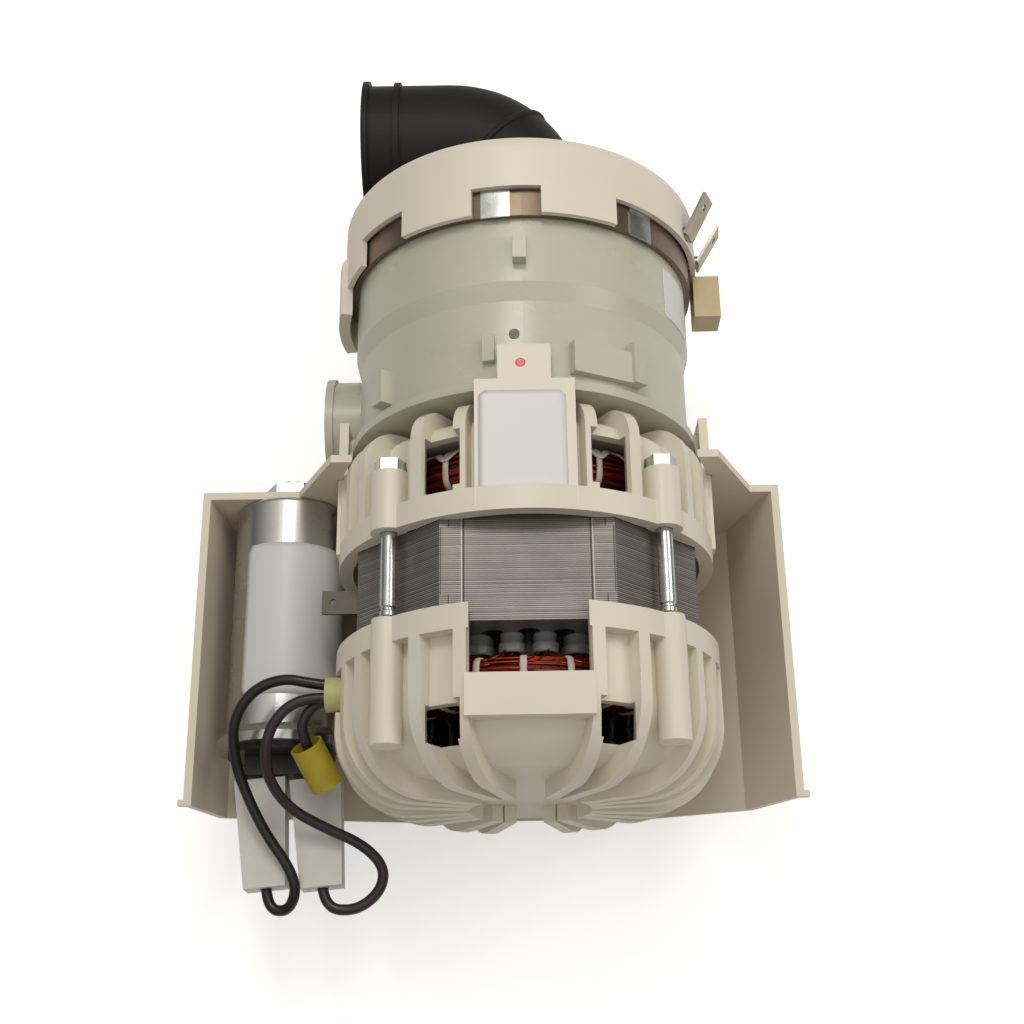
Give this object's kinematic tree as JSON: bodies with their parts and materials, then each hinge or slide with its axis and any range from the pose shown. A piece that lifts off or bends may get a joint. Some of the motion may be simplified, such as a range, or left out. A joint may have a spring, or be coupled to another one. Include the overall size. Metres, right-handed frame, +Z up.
{
  "type": "dishwasher circulation pump",
  "caption": "Induction motor between ribbed plastic end shields, driving a clamped pump bowl with side outlet and rubber inlet elbow, on a tray with its run capacitor.",
  "frame": {"origin": "on the flat underside of the tray, below the motor axis, level with the near end face of the stator stack", "axes": "+Y along the motor axis from the motor to the pump inlet, +Z up from the tray, +X to the right; the outlet and the inlet elbow open towards -X"},
  "size_m": [0.1609, 0.2412, 0.1041],
  "materials": {
    "lamination_steel": "satin",
    "copper_wire": "satin",
    "liner_film": "matte",
    "cast_aluminium": "satin",
    "shaft_steel": "polished",
    "ball_steel": "polished",
    "shield_plastic": "matte",
    "sleeve_rubber": "matte",
    "zinc_steel": "satin",
    "bowl_plastic": "satin",
    "impeller_plastic": "satin",
    "seal_ceramic": "gloss",
    "seal_carbon": "satin",
    "seal_rubber": "matte",
    "cap_plastic": "satin",
    "band_steel": "satin",
    "heater_steel": "satin",
    "tinned_brass": "satin",
    "connector_plastic": "matte",
    "elbow_rubber": "satin",
    "tray_plastic": "matte",
    "can_aluminium": "satin",
    "base_plastic": "satin",
    "boot_vinyl": "satin",
    "yellow_sleeving": "satin",
    "black_insulation": "satin",
    "purple_insulation": "satin"
  },
  "bodies": {
    "housing": {"stator_core": "lamination_steel", "stator_winding": "copper_wire", "slot_liners": "liner_film", "rear_bearing_outer": "shaft_steel", "front_bearing_outer": "shaft_steel", "rear_bearing_balls": "ball_steel", "front_bearing_balls": "ball_steel", "rear_end_shield": "shield_plastic", "front_end_shield": "shield_plastic", "rear_bearing_sleeve": "sleeve_rubber", "front_bearing_sleeve": "sleeve_rubber", "through_bolts": "zinc_steel", "capacitor_washer": "zinc_steel", "capacitor_nut": "zinc_steel", "clamp_sleeves": "zinc_steel", "pump_bowl": "bowl_plastic", "guide_plate": "impeller_plastic", "seal_seat": "seal_ceramic", "housing_gasket": "seal_rubber", "inlet_cap": "cap_plastic", "clamp_band": "band_steel", "heater_ring": "heater_steel", "heater_terminals": "tinned_brass", "capacitor_terminals": "tinned_brass", "push_on_sockets": "tinned_brass", "connector_pins": "tinned_brass", "earth_tab": "tinned_brass", "sensor_connector": "connector_plastic", "inlet_elbow": "elbow_rubber", "support_tray": "tray_plastic", "capacitor_can": "can_aluminium", "capacitor_base": "base_plastic", "terminal_boot_left": "boot_vinyl", "terminal_boot_right": "boot_vinyl", "lead_sleeve_small": "yellow_sleeving", "lead_sleeve_large": "yellow_sleeving", "black_wire": "black_insulation", "purple_wire": "purple_insulation", "purple_wire_short": "purple_insulation"},
    "rotor": {"motor_shaft": "shaft_steel", "rotor_core": "lamination_steel", "rotor_end_rings": "cast_aluminium", "rear_bearing_inner": "shaft_steel", "front_bearing_inner": "shaft_steel", "seal_ring": "seal_carbon", "seal_bellows": "seal_rubber", "impeller": "impeller_plastic"}
  },
  "joints": [
    {"name": "rotor_spin", "type": "hinge", "parent": "housing", "child": "rotor", "pos_m": [0, 0.015, 0.0541], "axis": [0, 1, 0], "continuous": true}
  ]
}
